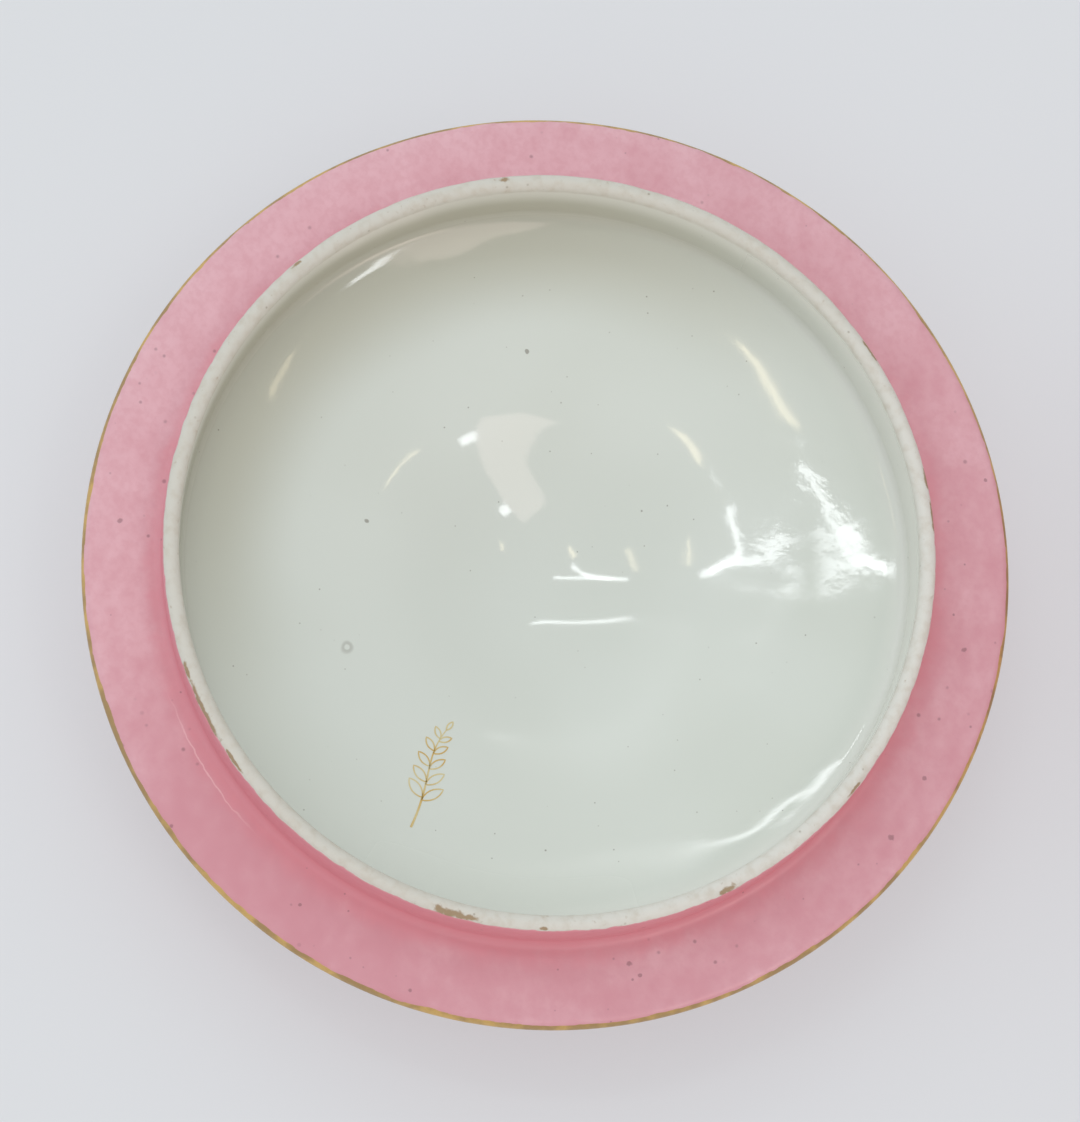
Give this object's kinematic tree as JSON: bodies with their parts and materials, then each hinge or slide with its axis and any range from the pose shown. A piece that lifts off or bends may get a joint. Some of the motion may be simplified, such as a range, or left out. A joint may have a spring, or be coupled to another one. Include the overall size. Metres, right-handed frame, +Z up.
{
  "type": "powder jar",
  "caption": "Low bellied porcelain powder jar on a foot ring, with its loose lid lying upside down beside it, ring and glazed inside facing up.",
  "frame": {"origin": "centre of the jar's foot, on the table", "axes": "+Z up the jar's axis; the lid lies at 45 degrees between +X and +Y"},
  "size_m": [0.2371, 0.2371, 0.052],
  "materials": {
    "pink_enamel": "satin pink enamel ground over glazed porcelain",
    "white_glaze": "glossy, faintly green white glaze",
    "bare_rim": "unglazed, chalky",
    "gilding": "worn burnished gold, drawn as a thin layer"
  },
  "bodies": {
    "jar": {"jar_body": "pink_enamel", "jar_foot_ring": "pink_enamel", "jar_rim_gilding": "gilding", "jar_foot_gilding": "gilding"},
    "lid": {"lid_shell": "pink_enamel", "lid_locating_ring": "bare_rim", "lid_knob": "pink_enamel", "lid_edge_gilding": "gilding", "lid_knob_gilding": "gilding"}
  },
  "joints": [
    {"name": "lid_lift", "type": "slide", "parent": "jar", "child": "lid", "axis": [0, 0, 1], "range_m": [0, 0.06]}
  ]
}
